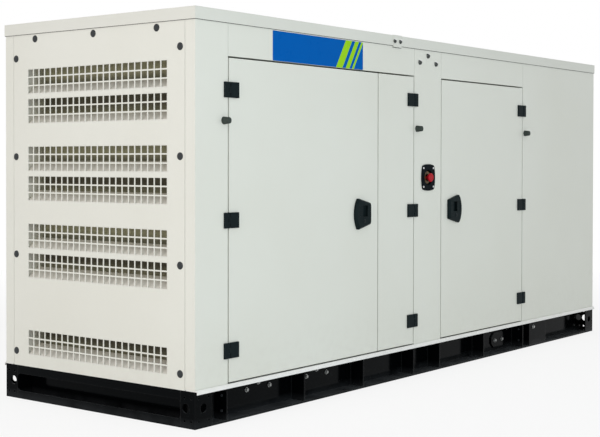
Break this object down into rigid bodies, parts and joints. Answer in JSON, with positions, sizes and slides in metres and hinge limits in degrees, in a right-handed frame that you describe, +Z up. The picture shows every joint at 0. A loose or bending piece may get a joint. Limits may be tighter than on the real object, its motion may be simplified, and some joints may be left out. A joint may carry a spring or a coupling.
{
  "type": "canopied lpg generator set",
  "caption": "Sound-proofed steel canopy of an LPG generator set on a channel base frame, with hinged doors, paddle handles, perforated air grilles and an emergency stop.",
  "frame": {"origin": "on the ground, at the middle of the set's length and width", "axes": "+X along the set from its left end, as seen from the door side, +Y from the door side with the emergency stop to the back, +Z up"},
  "size_m": [3.708, 1.22, 1.682],
  "materials": {
    "shell": "off-white powder coat on folded steel sheet",
    "base": "gloss black paint on welded steel channel",
    "fittings": "satin black fittings with a moulded look",
    "foam": "dark acoustic foam, open cell",
    "air_box": "light grey coated sheet",
    "rubber": "dull dark grey rubber",
    "button": "glossy signal red"
  },
  "bodies": {
    "canopy": {"base_rail_front": "base", "base_rail_back": "base", "base_end_beams": "base", "base_corners": "base", "base_gussets": "base", "base_brackets": "base", "base_cross_members": "base", "floor_plate": "base", "sill_strips": "shell", "front_left_panel": "shell", "front_wide_header": "shell", "front_centre_post": "shell", "front_single_header": "shell", "front_right_panel": "shell", "back_left_panel": "shell", "back_wide_header": "shell", "back_centre_post": "shell", "back_single_header": "shell", "back_right_panel": "shell", "end_panel_left": "shell", "end_panel_right": "shell", "end_grille_left": "shell", "end_grille_right": "shell", "roof_left": "shell", "roof_right": "shell", "roof_joint_strip": "shell", "back_doors": "shell", "air_box_left": "air_box", "air_box_right": "air_box", "air_blades_left": "air_box", "air_blades_right": "air_box", "air_baffles": "foam", "wall_lining": "foam", "roof_lining": "foam", "back_hinges": "fittings", "back_handles": "fittings", "post_hinge_leaves": "fittings", "estop_bezel": "fittings", "rubber_stops": "rubber"},
    "wide_door": {"wide_door": "shell", "wide_door_lining": "foam", "wide_door_hinges": "fittings", "wide_door_handle": "fittings"},
    "wide_paddle": {"wide_door_paddle": "fittings"},
    "slim_door": {"slim_door": "shell", "slim_door_lining": "foam", "slim_door_hinges": "fittings"},
    "single_door": {"single_door": "shell", "single_door_lining": "foam", "single_door_hinges": "fittings", "single_door_handle": "fittings"},
    "single_paddle": {"single_door_paddle": "fittings"},
    "button": {"estop_button": "button"}
  },
  "joints": [
    {"name": "wide_door_hinge", "type": "hinge", "parent": "canopy", "child": "wide_door", "pos_m": [-1.65, -0.585, 0.825], "axis": [0, 0, -1], "range_deg": [0, 120]},
    {"name": "slim_door_hinge", "type": "hinge", "parent": "canopy", "child": "slim_door", "pos_m": [-0.25, -0.585, 0.825], "axis": [0, 0, 1], "range_deg": [0, 120]},
    {"name": "single_door_hinge", "type": "hinge", "parent": "canopy", "child": "single_door", "pos_m": [0.897, -0.585, 0.825], "axis": [0, 0, 1], "range_deg": [0, 120]},
    {"name": "wide_paddle_pivot", "type": "hinge", "parent": "wide_door", "child": "wide_paddle", "pos_m": [-0.7405, -0.5945, 0.835], "axis": [0, 0, -1], "range_deg": [0, 30], "stiffness_Nm_per_rad": 0.2},
    {"name": "single_paddle_pivot", "type": "hinge", "parent": "single_door", "child": "single_paddle", "pos_m": [0.1725, -0.5945, 0.835], "axis": [0, 0, 1], "range_deg": [0, 30], "stiffness_Nm_per_rad": 0.2},
    {"name": "button_push", "type": "slide", "parent": "canopy", "child": "button", "axis": [0, 1, 0], "range_m": [0, 0.004]}
  ]
}
